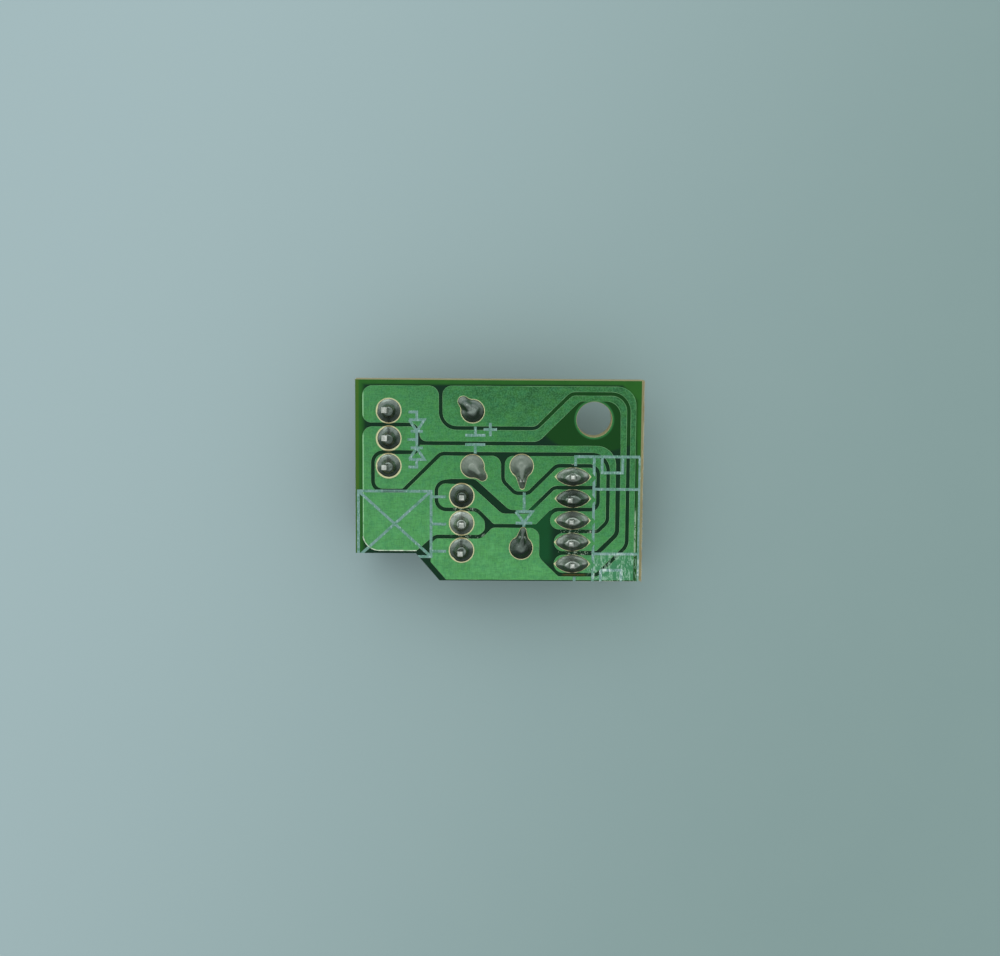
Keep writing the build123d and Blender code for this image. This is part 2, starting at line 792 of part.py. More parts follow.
# infrared receiver on its back, lens outwards
receiver_depth = 4.0
receiver_draft = 6
lead_plane = -1.7
lens_radius = 2.3
lens_neck = 0.2
receiver_end = left + 0.05 + receiver_length
lens_centre_x = receiver_end - 2.95
corner_chamfer = 0.6
shoulder_width = 0.85
shoulder_length = 0.4 * (receiver_x - receiver_end)
lead_anchor = 1.1  # length of each lead inside the body
dome_height = rest_height - receiver_depth - lens_neck
dome_radius = (lens_radius**2 + dome_height**2) / (2 * dome_height)
dome_angle = degrees(asin(lens_radius / dome_radius))

for index, place in enumerate(receiver_places, 1):
    points = [
        (receiver_end - lead_anchor, place[1], lead_plane),
        (place[0], place[1], lead_plane),
        *upright_end(place, receiver_leans[index - 1]),
    ]
    with BuildPart() as receiver_lead:
        add(bent_wire(points, wire_bend, square=True))
        with Locations((receiver_end - lead_anchor, place[1], lead_plane)):
            Box(
                lead_anchor + shoulder_length, shoulder_width, wire,
                align=(Align.MIN, Align.CENTER, Align.CENTER),
            )
    leads[f"receiver_joint_{index}"] = receiver_lead.part

with BuildPart() as receiver:
    middle = (receiver_end - receiver_length / 2, receiver_y)
    for amount in (-lead_plane, -(receiver_depth + lead_plane)):
        with BuildSketch(Plane.XY.offset(lead_plane)):
            with Locations(middle):
                Rectangle(receiver_length, receiver_width)
        extrude(amount=amount, taper=receiver_draft)
    upright = receiver.edges().filter_by(lambda edge: abs(edge.tangent_at(0.5).Z) > 0.9)
    chamfer(upright.sort_by(Axis.X)[:4], corner_chamfer)
    # domed lens on a short neck
    with BuildSketch(Plane.XZ.offset(-receiver_y)):
        with BuildLine():
            Polyline(
                (lens_centre_x, -rest_height),
                (lens_centre_x, -receiver_depth + 0.3),
                (lens_centre_x + lens_radius, -receiver_depth + 0.3),
                (lens_centre_x + lens_radius, -receiver_depth - lens_neck),
            )
            CenterArc((lens_centre_x, dome_radius - rest_height), dome_radius, -90, dome_angle)
        make_face()
    revolve(axis=Axis((lens_centre_x, receiver_y, 0), (0, 0, 1)))
    for index in (1, 2, 3):
        add(leads[f"receiver_joint_{index}"], mode=Mode.SUBTRACT)
keep(receiver.part, "receiver_body")

# glass diode
glass_radius = 0.9
glass_length = 3.8
glass_z = -1.05
stud_radius = 0.62
chip_half = 0.15
band_length = 0.75
band_thickness = 0.02

for place, clinch, name in zip(diode_places, diode_clinches, ("top", "bottom")):
    side = 1 if name == "top" else -1
    points = [
        (diode_x, diode_y + side * glass_length / 2, glass_z),
        (*place, glass_z),
        *clinched_end(place, clinch),
    ]
    leads[f"diode_joint_{name}"] = bent_wire(points, wire_bend)

diode_axis = Plane(origin=(diode_x, diode_y, glass_z), x_dir=(1, 0, 0), z_dir=(0, 1, 0))
with BuildPart(diode_axis) as glass:
    Cylinder(glass_radius, glass_length)
    fillet(glass.edges().filter_by(GeomType.CIRCLE), 0.22)
    Cylinder(stud_radius, glass_length, mode=Mode.SUBTRACT)
keep(glass.part, "diode_glass")
with BuildPart(diode_axis) as band:
    with Locations((0, 0, -glass_length / 2 + 0.35)):
        Cylinder(glass_radius + band_thickness, band_length, align=(Align.CENTER, Align.CENTER, Align.MIN))
        Cylinder(
            glass_radius, band_length, align=(Align.CENTER, Align.CENTER, Align.MIN), mode=Mode.SUBTRACT
        )
keep(band.part, "diode_band")
for name, side in (("top", 1), ("bottom", -1)):
    with BuildPart(diode_axis) as stud:
        with Locations((0, 0, side * (glass_length / 2 + chip_half) / 2)):
            Cylinder(stud_radius, glass_length / 2 - chip_half)
    keep(stud.part, f"diode_stud_{name}")
with BuildPart(diode_axis) as chip:
    Box(0.6, 0.6, 2 * chip_half)
keep(chip.part, "diode_chip")

# side-entry header with its mouth at the board's edge
housing_wall = 0.8
end_wall = 0.75
rear_wall = 0.9
pin_z = -2.75
pin_reach = 1.1  # pins end this far inside the mouth
pin_chamfer = 0.12
slot_length = 2.8
ear_thickness = 0.85
ear_rear = header_x - 0.05
guide_width = 0.7
key_depth = 0.35

for index, place in enumerate(header_places, 1):
    points = [
        (housing_front - pin_reach, place[1], pin_z),
        (place[0], place[1], pin_z),
        *upright_end(place, header_leans[index - 1]),
    ]
    with BuildPart() as pin:
        add(bent_wire(points, wire_bend, square=True))
        chamfer(pin.faces().sort_by(Axis.X)[-1].edges(), pin_chamfer)
        chamfer(pin.faces().sort_by(Axis.Z)[-1].edges(), pin_chamfer)
    leads[f"header_joint_{index}"] = pin.part

with BuildPart() as housing:
    length = housing_front - housing_rear
    with Locations((housing_rear, header_y, 0)):
        Box(length, 2 * housing_half, rest_height, align=(Align.MIN, Align.CENTER, Align.MAX))
    # ears run back past the rear wall, sloped at the back
    with BuildSketch(Plane.XZ.offset(-header_y)):
        with BuildLine():
            Polyline(
                (housing_rear, 0),
                (ear_rear, 0),
                (ear_rear, -2.6),
                (housing_rear - 0.3, -rest_height + 0.5),
                (housing_rear, -rest_height + 0.5),
                close=True,
            )
        make_face()
    extrude(amount=housing_half, both=True)
    with Locations((housing_rear, header_y, 0)):
        Box(
            2 * (housing_rear - ear_rear), 2 * (housing_half - ear_thickness), 2 * rest_height,
            align=(Align.MAX, Align.CENTER, Align.CENTER), mode=Mode.SUBTRACT,
        )
    # the socket
    with Locations((housing_rear + rear_wall, header_y, -housing_wall)):
        Box(
            length, 2 * (housing_half - end_wall), rest_height - 2 * housing_wall,
            align=(Align.MIN, Align.CENTER, Align.MAX), mode=Mode.SUBTRACT,
        )
    # slot in the outer wall, open at the mouth
    with Locations((housing_front, header_y, -rest_height)):
        Box(
            2 * slot_length, 2 * slot_half, 2 * housing_wall + 0.2,
            align=(Align.CENTER, Align.CENTER, Align.CENTER), mode=Mode.SUBTRACT,
        )
    # window in each outer corner
    window_middle = (window_line[0] + window_line[1]) / 2
    for side in (1, -1):
        with Locations((window_middle, header_y + side * housing_half, -rest_height)):
            Box(window_line[1] - window_line[0], 2 * window_depth, 3.0, mode=Mode.SUBTRACT)
    # key ribs on the floor of the socket
    for side in (1, -1):
        rib_y = header_y + side * (housing_half - end_wall)
        with Locations((housing_rear + rear_wall, rib_y, -housing_wall)):
            Box(
                length - rear_wall - 0.6, 2 * guide_width, 2 * key_depth,
                align=(Align.MIN, Align.CENTER, Align.CENTER),
            )
    mouth = housing.faces().sort_by(Axis.X)[-1]
    chamfer(mouth.outer_wire().edges().filter_by(Axis.Z), 0.25)
    for index in range(1, header_pins + 1):
        add(leads[f"header_joint_{index}"], mode=Mode.SUBTRACT)
keep(housing.part, "header_housing")

# ---------------------------------------------------------------- solder joints and leads
collar = 0.4  # solder round the pin at the top of a joint
round_profile = [(round_joint, 0), (0.62, 0.3), (0.45, 0.62), (collar, round_joint_height)]
clinch_layers = [(0, 1.0), (0.2, 0.8), (0.45, 0.58), (clinch_joint_height, 0.3)]  # heights and scales
header_layers = [(0, 1.0), (0.25, 0.8), (0.6, 0.55), (lens_joint_height, 0.42)]

with BuildPart() as cone:
    with BuildSketch(Plane.XZ):
        with BuildLine():
            Spline(*round_profile)
            Polyline((collar, round_joint_height), (0, round_joint_height), (0, 0), (round_joint, 0))
        make_face()
    revolve(axis=Axis.Z)


def finish_joint(solid, place, name):
    """Cuts the lead out of its joint and keeps the joint."""
    with BuildPart() as joint:
        with Locations((*place, foil_top)):
            add(solid)
        add(leads[name], mode=Mode.SUBTRACT)
    keep(joint.part, name)


for kind, places in (("led", led_places), ("receiver", receiver_places)):
    for index, place in enumerate(places, 1):
        finish_joint(cone.part, place, f"{kind}_joint_{index}")

for index, place in enumerate(header_places, 1):
    with BuildPart() as ridge:
        for z, scale in header_layers:
            with BuildSketch(Plane.XY.offset(z)):
                lens((0, 0), lens_half_length * scale, lens_joint * scale, 0)
        loft()
    finish_joint(ridge.part, place, f"header_joint_{index}")

clinched = {
    "capacitor_joint_plus": (capacitor_places[0], capacitor_clinches[0]),
    "capacitor_joint_minus": (capacitor_places[1], capacitor_clinches[1]),
    "diode_joint_top": (diode_places[0], diode_clinches[0]),
    "diode_joint_bottom": (diode_places[1], diode_clinches[1]),
}
for name, (place, ((dx, dy), tip_radius)) in clinched.items():
    with BuildPart() as dome:
        for z, scale in clinch_layers:
            with BuildSketch(Plane.XY.offset(z)):
                pull = 0.4 + 0.6 * scale  # the ridge draws back to the hole as it rises
                teardrop((0, 0), ((dx * pull, dy * pull), tip_radius), clinch_joint, 0, scale)
        loft()
    finish_joint(dome.part, place, name)

for name, solid in leads.items():
    keep(solid, name.replace("header_joint", "header_pin").replace("joint", "lead"))
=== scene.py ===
"""Infrared sensor board: finishes, fine pieces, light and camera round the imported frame.

The board lies level with its solder side up (+Z) and its parts below. The frame is in metres;
shaders and the sizes of fine pieces are in millimetres.
"""

import json
from math import radians

import bmesh
import bpy
from mathutils import Matrix, Vector, noise as field


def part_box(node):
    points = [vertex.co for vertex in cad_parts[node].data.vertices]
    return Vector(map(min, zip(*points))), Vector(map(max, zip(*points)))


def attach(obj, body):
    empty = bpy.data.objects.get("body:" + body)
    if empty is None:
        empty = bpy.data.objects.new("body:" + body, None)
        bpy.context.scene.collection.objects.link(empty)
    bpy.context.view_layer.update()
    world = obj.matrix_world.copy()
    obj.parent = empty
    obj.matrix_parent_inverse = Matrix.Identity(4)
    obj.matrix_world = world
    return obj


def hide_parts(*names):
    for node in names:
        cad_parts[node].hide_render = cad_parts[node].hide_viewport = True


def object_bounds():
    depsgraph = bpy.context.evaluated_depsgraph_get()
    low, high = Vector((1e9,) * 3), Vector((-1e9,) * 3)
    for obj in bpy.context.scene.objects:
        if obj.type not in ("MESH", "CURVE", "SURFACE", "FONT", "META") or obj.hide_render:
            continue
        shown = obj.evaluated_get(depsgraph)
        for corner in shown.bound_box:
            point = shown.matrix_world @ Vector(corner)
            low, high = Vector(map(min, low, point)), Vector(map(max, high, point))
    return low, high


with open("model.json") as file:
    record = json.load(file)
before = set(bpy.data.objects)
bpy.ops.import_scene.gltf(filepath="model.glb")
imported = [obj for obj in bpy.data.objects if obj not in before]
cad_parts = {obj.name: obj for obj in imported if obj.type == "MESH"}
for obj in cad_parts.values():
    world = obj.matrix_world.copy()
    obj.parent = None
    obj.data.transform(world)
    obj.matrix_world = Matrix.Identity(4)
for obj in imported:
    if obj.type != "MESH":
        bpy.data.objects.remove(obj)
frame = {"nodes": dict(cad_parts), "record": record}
cad_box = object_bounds()
nodes = frame["nodes"]
mm = 0.001
scene = bpy.context.scene
slot_of = {row["node"]: row["material_slot"] for row in frame["record"]["subparts"]}

# ---------------------------------------------------------------- places read from the frame
board_low, board_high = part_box("board_laminate")
solder_face = board_high.z
coat_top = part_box("foil_ground")[1].z
copper_low, copper_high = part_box("foil_led_a")
floor_z = cad_box[0][2]
joint_names = sorted(name for name in nodes if "_joint_" in name)
foil_names = sorted(name for name in nodes if name.startswith("foil_"))


def middle(name, dx=0.0, dy=0.0):
    """Centre of a CAD node's box, shifted by some millimetres."""
    low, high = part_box(name)
    return (low + high) / 2 + Vector((dx, dy, 0)) * mm


def gap_between(first, second):
    """The place halfway between two nodes."""
    return (middle(first) + middle(second)) / 2


under_last_joint = middle("header_joint_5", 0.2, -1.02)


# ---------------------------------------------------------------- colours
def ink(red, green, blue):
    """A display colour, 0 to 255, as the linear colour that a shader takes."""
    return tuple(
        c / 12.92 if c <= 0.04045 else ((c + 0.055) / 1.055) ** 2.4
        for c in (red / 255, green / 255, blue / 255)
    ) + (1.0,)


# ---------------------------------------------------------------- node building
VECTOR, VALUE, COLOUR, COUNT = "NodeSocketVector", "NodeSocketFloat", "NodeSocketColor", "NodeSocketInt"
SHAPE, FINISH = "NodeSocketGeometry", "NodeSocketMaterial"


def feed(tree, socket, value):
    """Links a socket to another node's output, or sets its plain value."""
    if isinstance(value, bpy.types.NodeSocket):
        tree.links.new(value, socket)
    else:
        socket.default_value = value


def add(tree, kind, inputs=None, **fields):
    """Adds a node, sets its fields, and fills its inputs by name or number."""
    made = tree.nodes.new(kind)
    for name, value in fields.items():
        setattr(made, name, value)
    for name, value in (inputs or {}).items():
        feed(tree, made.inputs[name], value)
    return made


def new_tree(name, kind, inputs, outputs, build):
    """A node group. inputs are (name, socket type, default) rows, outputs are (name, socket type) rows."""
    tree = bpy.data.node_groups.new(name, kind)
    for label, socket_type, default in inputs:
        socket = tree.interface.new_socket(label, in_out="INPUT", socket_type=socket_type)
        if default is not None:
            socket.default_value = default
    for label, socket_type in outputs:
        tree.interface.new_socket(label, in_out="OUTPUT", socket_type=socket_type)
    given = tree.nodes.new("NodeGroupInput")
    made = tree.nodes.new("NodeGroupOutput")
    for label, socket in build(tree, given.outputs).items():
        tree.links.new(socket, made.inputs[label])
    return tree


def use(tree, group, inputs):
    """Places a shared shader group with this material's own values."""
    return add(tree, "ShaderNodeGroup", inputs, node_tree=group).outputs


def blend(tree, amount, low, high):
    """Mixes two colours by an amount."""
    made = add(tree, "ShaderNodeMix", data_type="RGBA")
    for socket, value in zip((made.inputs[0], made.inputs[6], made.inputs[7]), (amount, low, high)):
        feed(tree, socket, value)
    return made.outputs[2]


def maths(tree, operation, first, second=0.0):
    """One math node."""
    return add(tree, "ShaderNodeMath", {0: first, 1: second}, operation=operation).outputs[0]


def times(tree, first, second):
    return maths(tree, "MULTIPLY", first, second)


def apart(tree, value, centre):
    """How far a value is from a centre, on either side."""
    return maths(tree, "ABSOLUTE", maths(tree, "SUBTRACT", value, centre))


def largest(tree, masks):
    """The largest of several masks."""
    most = masks[0]
    for mask in masks[1:]:
        most = maths(tree, "MAXIMUM", most, mask)
    return most


def over(tree, tone, mask, share, colour):
    """A colour laid over a tone where a mask says so, never more than some share of it."""
    return blend(tree, times(tree, mask, share), tone, colour)


def ramp(tree, value, start, end, low=0.0, high=1.0):
    """A smooth step of a value, from low at start to high at end."""
    places = {"Value": value, "From Min": start, "From Max": end, "To Min": low, "To Max": high}
    return add(tree, "ShaderNodeMapRange", places, interpolation_type="SMOOTHSTEP").outputs["Result"]


def noise(tree, vector, scale, detail=3.0, roughness=0.6):
    """A noise value, about 0.5 on average."""
    places = {"Vector": vector, "Scale": scale, "Detail": detail, "Roughness": roughness}
    return add(tree, "ShaderNodeTexNoise", places).outputs["Fac"]


def millimetres(tree, stretch=(1, 1, 1)):
    """Object coordinates in millimetres, stretched where a grain runs one way."""
    place = add(tree, "ShaderNodeTexCoord").outputs["Object"]
    scale = tuple(part / mm for part in stretch)
    return add(tree, "ShaderNodeMapping", {"Vector": place, "Scale": scale}).outputs["Vector"]


def axes_of(tree, vector):
    return add(tree, "ShaderNodeSeparateXYZ", {"Vector": vector}).outputs


def moved(tree, operation, vector, other):
    """One vector math node that puts out a vector."""
    return add(tree, "ShaderNodeVectorMath", {0: vector, 1: other}, operation=operation).outputs["Vector"]


def reach_of(tree, vector):
    """The length of a vector."""
    return add(tree, "ShaderNodeVectorMath", {0: vector}, operation="LENGTH").outputs["Value"]


def bumped(tree, height, distance, strength=1.0):
    """A bump normal from a height."""
    places = {"Height": height, "Distance": distance, "Strength": strength}
    return add(tree, "ShaderNodeBump", places).outputs["Normal"]


def finish(name, build, **constants):
    """A material with one Principled shader. build says what feeds its sockets; the rest are constants."""
    material = bpy.data.materials.new(name)
    material.use_nodes = True
    tree = material.node_tree
    shader = tree.nodes["Principled BSDF"]
    for label, value in constants.items():
        shader.inputs[label.replace("_", " ")].default_value = value
    for label, value in build(tree).items():
        tree.links.new(value, shader.inputs[label])
    return material


# ---------------------------------------------------------------- shared effects
def build_grain(tree, given):
    """Fine cross-woven grain: two stretched noises over each other, and a slow mottle."""
    threads = []
    for scale in ((1.0, 6.0, 1.0), (6.0, 1.0, 1.0)):
        run = add(tree, "ShaderNodeMapping", {"Vector": given["Vector"], "Scale": scale}).outputs["Vector"]
        threads.append(noise(tree, run, 1.6, 2.0, 0.5))
    woven = times(tree, maths(tree, "ADD", *threads), 0.5)
    mottle = noise(tree, given["Vector"], 0.7, 5.0, 0.7)
    return {
        "Weave": ramp(tree, woven, 0.38, 0.62),
        "Mottle": ramp(tree, mottle, 0.32, 0.68),
        "Fine": noise(tree, given["Vector"], 8.0, 3.0, 0.65),
    }


grain = new_tree(
    "fine_grain", "ShaderNodeTree", [("Vector", VECTOR, None)],
    [("Weave", VALUE), ("Mottle", VALUE), ("Fine", VALUE)], build_grain,
)

scuffed_corner = Vector((board_high.x - 2.4 * mm, board_low.y + 1.1 * mm, 0)) / mm


def build_scuffs(tree, given):
    """Short pale scratches, dense in one corner of the board and rare elsewhere."""
    axes = axes_of(tree, given["Vector"])
    flat = add(tree, "ShaderNodeCombineXYZ", {"X": axes["X"], "Y": axes["Y"]}).outputs["Vector"]
    away = moved(tree, "SUBTRACT", flat, tuple(scuffed_corner))
    near = ramp(tree, reach_of(tree, moved(tree, "MULTIPLY", away, (0.8, 1.3, 1.0))), 2.6, 1.2)
    turned = add(
        tree, "ShaderNodeMapping",
        {"Vector": given["Vector"], "Rotation": (0, 0, radians(38)), "Scale": (1.0, 0.22, 1.0)},
    ).outputs["Vector"]
    strokes = ramp(tree, noise(tree, turned, 4.6, 3.0, 0.7), 0.80, 0.88)
    folds = []
    for scale in (0.8, 1.7):
        swing = apart(tree, noise(tree, turned, scale * 1.6, 3.0, 0.6), 0.5)
        folds.append(times(tree, ramp(tree, swing, 0.034, 0.010), near))
    broken = ramp(tree, noise(tree, given["Vector"], 1.8, 3.0, 0.7), 0.40, 0.56)
    return {"Mask": largest(tree, [strokes, times(tree, largest(tree, folds), broken)]), "Near": near}


scuffs = new_tree(
    "corner_scuffs", "ShaderNodeTree", [("Vector", VECTOR, None)],
    [("Mask", VALUE), ("Near", VALUE)], build_scuffs,
)


def build_patch(tree, given):
    """A ragged patch of some width and height round a place."""
    axes = axes_of(tree, moved(tree, "SUBTRACT", given["Vector"], given["Place"]))
    across = maths(tree, "DIVIDE", maths(tree, "ABSOLUTE", axes["X"]), given["Half Width"])
    along = maths(tree, "DIVIDE", maths(tree, "ABSOLUTE", axes["Y"]), given["Half Height"])
    inside = ramp(tree, largest(tree, [across, along]), 1.15, 0.7)
    rag = noise(tree, given["Vector"], given["Grain"], 4.0, 0.7)
    ragged = ramp(tree, rag, given["Cover"], maths(tree, "ADD", given["Cover"], 0.08))
    return {"Mask": times(tree, inside, ragged)}


patch = new_tree(
    "ragged_patch", "ShaderNodeTree",
    [
        ("Vector", VECTOR, None), ("Place", VECTOR, None), ("Half Width", VALUE, 1.0),
        ("Half Height", VALUE, 1.0), ("Grain", VALUE, 4.0), ("Cover", VALUE, 0.5),
    ],
    [("Mask", VALUE)], build_patch,
)


def worn(tree, vector, place, half_width, half_height, grain_size=4.0, cover=0.5):
    """Mask of one worn patch round a place on the board."""
    values = {
        "Vector": vector, "Place": tuple(place / mm), "Half Width": half_width,
        "Half Height": half_height, "Grain": grain_size, "Cover": cover,
    }
    return use(tree, patch, values)["Mask"]


# ---------------------------------------------------------------- finishes of the solder side
def painted_light_tone(tree, place, dark, plain, bright):
    """Painted light over the board: painted shade darker towards the screw hole, a painted sheen brighter at
    the lower left.
    """
    axes = axes_of(tree, place)
    up_right = maths(tree, "ADD", times(tree, axes["X"], 0.42), axes["Y"])
    low = blend(tree, ramp(tree, up_right, -17.0, -8.0), bright, plain)
    return blend(tree, ramp(tree, up_right, -8.5, 0.5), low, dark)


def masked_copper(tree):
    """Green coat over copper, under painted sheen and shade, with a pale line at its left side that is
    partly a thinner worn coat and partly a painted highlight, and bare flanks at the joints.
    """
    place = millimetres(tree)
    axes = axes_of(tree, place)
    texture = use(tree, grain, {"Vector": place})
    scuff = use(tree, scuffs, {"Vector": place})
    # painted sheen at the lower left, painted shade towards the screw hole and the top right
    tone = painted_light_tone(tree, place, ink(10, 72, 30), ink(52, 126, 66), ink(84, 160, 94))
    # painted light: the copper is lighter towards the left, where the light comes from
    tone = over(tree, tone, ramp(tree, axes["X"], -10.0, -21.0), 0.5, ink(70, 138, 80))
    tone = over(tree, tone, texture["Mottle"], 0.40, ink(68, 140, 58))
    cool = ramp(tree, noise(tree, place, 2.1, 4.0, 0.7), 0.46, 0.62)
    tone = over(tree, tone, cool, 0.38, ink(40, 118, 78))
    tone = over(tree, tone, texture["Weave"], 0.36, ink(26, 80, 48))
    tone = over(tree, tone, ramp(tree, texture["Fine"], 0.4, 0.62), 0.34, ink(86, 154, 100))
    tone = over(tree, tone, scuff["Near"], 0.55, ink(48, 112, 86))
    tone = over(tree, tone, scuff["Mask"], 0.6, ink(168, 204, 184))
    # pale line at the copper's left edge: partly a thinner worn coat, partly a painted highlight
    worn_and_highlight_line = ramp(tree, axes["X"], copper_low.x / mm + 0.13, copper_low.x / mm + 0.04)
    broken = ramp(tree, noise(tree, place, 1.6, 3.0, 0.7), 0.36, 0.5, 0.25, 1.0)
    tone = over(tree, tone, worn_and_highlight_line, broken, ink(150, 200, 152))
    bare = ramp(tree, axes["Z"], coat_top / mm - 0.005, coat_top / mm - 0.012)
    tone = blend(tree, bare, tone, ink(206, 206, 162))
    relief = maths(tree, "ADD", texture["Weave"], times(tree, texture["Fine"], 0.8))
    return {
        "Base Color": tone,
        "Roughness": ramp(tree, texture["Mottle"], 0.0, 1.0, 0.40, 0.54),
        "Normal": bumped(tree, relief, 0.008 * mm),
    }


def board_margins(tree, axes):
    """Mask of the strips beside the copper at the left, top and right, and of the top right corner."""
    left, top, right = copper_low.x / mm, copper_high.y / mm, board_high.x / mm - 0.75
    return largest(tree, [
        ramp(tree, axes["X"], left + 0.35, left - 0.25),
        ramp(tree, axes["Y"], top - 0.05, top + 0.3),
        ramp(tree, axes["X"], right - 0.1, right + 0.35),
        ramp(tree, maths(tree, "ADD", axes["X"], axes["Y"]), 5.3, 5.9),
    ])


def from_screw_hole(tree, axes, stretch):
    """Distance from the screw hole's axis, which is the origin, with the Y direction stretched."""
    tall = times(tree, axes["Y"], stretch)
    return reach_of(tree, add(tree, "ShaderNodeCombineXYZ", {"X": axes["X"], "Y": tall}).outputs["Vector"])


def flux_between_joints(tree, place):
    """Mask of the dried flux in the channels between neighbouring joints."""
    return largest(tree, [
        worn(tree, place, gap_between(first, second) + Vector((0.6, 0, 0)) * mm, 1.5, 0.3, 3.4, 0.54)
        for first, second in (
            ("header_joint_4", "header_joint_5"), ("header_joint_3", "header_joint_4"),
            ("receiver_joint_1", "receiver_joint_2"), ("receiver_joint_2", "receiver_joint_3"),
        )
    ])


def bare_mask(tree):
    """Green coat over bare laminate: dark in the channels, partly darker laminate and partly painted shadow
    from the copper's edges; olive at the board's margins, painted light shining through the laminate.
    """
    place = millimetres(tree)
    axes = axes_of(tree, place)
    texture = use(tree, grain, {"Vector": place})
    scuff = use(tree, scuffs, {"Vector": place})
    # dark channels, partly darker laminate and partly painted shadow from the copper's edges; lighter in the
    # field round the screw hole
    round_hole = ramp(tree, from_screw_hole(tree, axes, 1.7), 5.3, 4.8)
    tone = blend(tree, round_hole, ink(2, 40, 23), ink(9, 60, 15))
    pocket = middle("header_joint_3", -3.2, -1.2) / mm
    in_pocket = times(
        tree, ramp(tree, apart(tree, axes["X"], pocket.x), 1.7, 0.9),
        ramp(tree, apart(tree, axes["Y"], pocket.y), 3.2, 2.2),
    )
    tone = over(tree, tone, in_pocket, 0.9, ink(8, 72, 36))
    # painted light: olive margins, where light shines through the laminate
    tone = blend(tree, board_margins(tree, axes), tone, ink(36, 92, 30))
    halo = ramp(tree, from_screw_hole(tree, axes, 1.0), 1.86, 1.70)
    tone = over(tree, tone, halo, 0.6, ink(58, 134, 76))
    tone = over(tree, tone, texture["Mottle"], 0.22, ink(14, 62, 20))
    # painted light: brighter olive still at the left edge, light shining through the laminate
    outer_left = ramp(tree, axes["X"], copper_low.x / mm - 0.28, copper_low.x / mm - 0.4)
    tone = over(tree, tone, outer_left, 0.6, ink(70, 100, 30))
    tone = over(tree, tone, scuff["Mask"], 0.7, ink(150, 190, 165))
    brown_strip = worn(tree, place, under_last_joint, 1.1, 0.08, 1.4, 0.2)
    tone = blend(tree, brown_strip, tone, ink(66, 62, 26))
    tone = over(tree, tone, flux_between_joints(tree, place), 0.75, ink(158, 178, 158))
    right_line = Vector((board_high.x - 0.7 * mm, middle("header_joint_3").y - 1.2 * mm, 0))
    tone = over(tree, tone, worn(tree, place, right_line, 0.12, 2.2, 2.2, 0.4), 0.8, ink(150, 180, 150))
    return {
        "Base Color": tone,
        "Roughness": ramp(tree, texture["Mottle"], 0.0, 1.0, 0.40, 0.52),
        "Normal": bumped(tree, texture["Weave"], 0.004 * mm),
    }


def printed_legend(tree):
    """Thin pale ink, with streaks, scratches and one darker worn stretch on the receiver's box."""
    place = millimetres(tree)
    thin = noise(tree, place, 2.6, 5.0, 0.7)
    streaks = noise(tree, millimetres(tree, (2.4, 0.8, 1.0)), 3.0, 4.0, 0.7)
    tone = blend(tree, ramp(tree, thin, 0.38, 0.54), ink(78, 130, 106), ink(106, 143, 136))
    tone = blend(tree, ramp(tree, streaks, 0.52, 0.70), tone, ink(160, 190, 186))
    tone = blend(tree, use(tree, scuffs, {"Vector": place})["Mask"], tone, ink(196, 216, 210))
    box_top = Vector((board_low.x + 3.4 * mm, middle("receiver_joint_1").y + 0.2 * mm, coat_top))
    tone = over(tree, tone, worn(tree, place, box_top, 1.1, 0.3, 1.2, 0.35), 0.6, ink(60, 84, 78))
    return {"Base Color": tone, "Normal": bumped(tree, thin, 0.006 * mm)}


def build_solder(tree, given):
    """Frozen solder with painted light on its upper flank and painted shade below, set by the surface's own
    direction, with dents, frosting and flux in patches.
    """
    facing = axes_of(tree, add(tree, "ShaderNodeTexCoord").outputs["Normal"])
    slow = noise(tree, given["Vector"], 1.1, 3.0, 0.6)
    # painted light and shade: how far the surface faces +Y, the board's upper side, shifted by a slow noise
    painted_light_lean = maths(tree, "SUBTRACT", facing["Y"], times(tree, facing["X"], 0.25))
    painted_light_lean = maths(tree, "ADD", painted_light_lean, times(tree, maths(tree, "SUBTRACT", slow, 0.5), 0.9))
    frost = noise(tree, given["Vector"], 14.0, 3.0, 0.7)
    patches = ramp(tree, noise(tree, given["Vector"], 2.3, 4.0, 0.65), 0.46, 0.70)
    # painted lit tone on the upper flank, then painted shade on the lower flank
    tone = blend(tree, ramp(tree, painted_light_lean, -0.12, 0.22), given["Middle"], given["Light"])
    tone = blend(tree, ramp(tree, painted_light_lean, -0.10, -0.42, 0.0, 0.8), tone, given["Shade"])
    tone = over(tree, tone, patches, 0.55, given["Middle"])
    # painted shade: steep flanks darker than the flat top
    tone = over(tree, tone, ramp(tree, facing["Z"], 0.45, 0.15), 0.35, ink(70, 76, 62))
    height = maths(tree, "ADD", noise(tree, given["Vector"], 1.6, 3.0, 0.55), times(tree, frost, 0.10))
    return {"Color": tone, "Frost": ramp(tree, frost, 0.3, 0.7), "Height": height}


solder_surface = new_tree(
    "solder_surface", "ShaderNodeTree",
    [("Vector", VECTOR, None), ("Light", COLOUR, None), ("Middle", COLOUR, None), ("Shade", COLOUR, None)],
    [("Color", COLOUR), ("Frost", VALUE), ("Height", VALUE)],
    build_solder,
)


def solder(light, middling, shade, smooth, rough):
    """A solder finish with its painted lit, middle and shaded tones and its range of roughness."""
    def build(tree):
        values = {"Vector": millimetres(tree), "Light": light, "Middle": middling, "Shade": shade}
        made = use(tree, solder_surface, values)
        return {
            "Base Color": made["Color"],
            "Roughness": ramp(tree, made["Frost"], 0.0, 1.0, smooth, rough),
            "Normal": bumped(tree, made["Height"], 0.03 * mm),
        }
    return build


